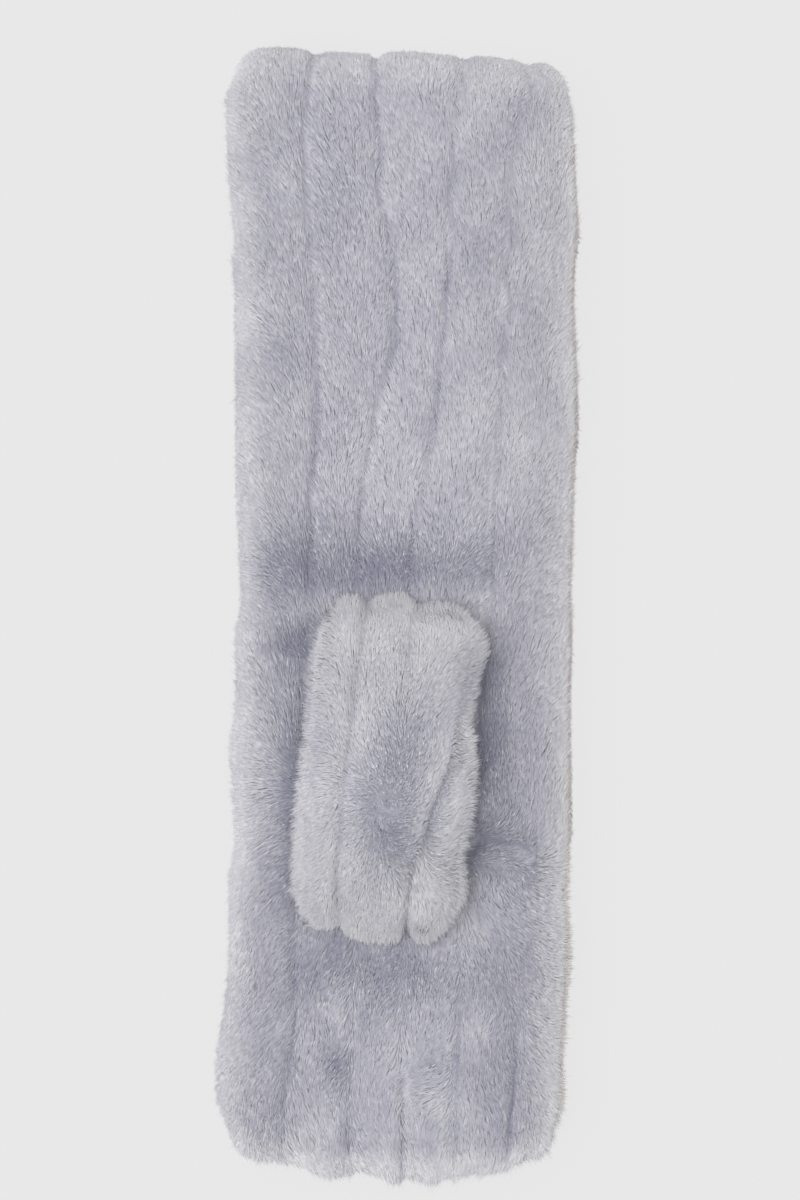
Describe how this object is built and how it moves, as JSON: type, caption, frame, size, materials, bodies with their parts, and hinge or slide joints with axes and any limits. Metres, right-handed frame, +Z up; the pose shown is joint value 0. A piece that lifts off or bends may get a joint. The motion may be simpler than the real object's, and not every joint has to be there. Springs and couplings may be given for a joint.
{
  "type": "faux fur collar wrap",
  "caption": "Pale grey faux-fur collar wrap with sewn channels, folded in half and lying flat, with a fur keeper band that its other end pulls through.",
  "frame": {"origin": "middle of the folded wrap's outline, on the surface that it lies on", "axes": "+X across the wrap, +Y along it towards the fold, +Z up from the surface"},
  "size_m": [0.1703, 0.5276, 0.0725],
  "materials": {
    "face_fur": "soft faux-fur pile, pale lavender grey",
    "under_fur": "soft faux-fur pile, in shadow between the layers",
    "keeper_fur": "soft faux-fur pile, pale lavender grey"
  },
  "bodies": {
    "root": {"face_panel": "face_fur", "hidden_layers": "under_fur", "keeper_band": "keeper_fur"}
  },
  "joints": []
}
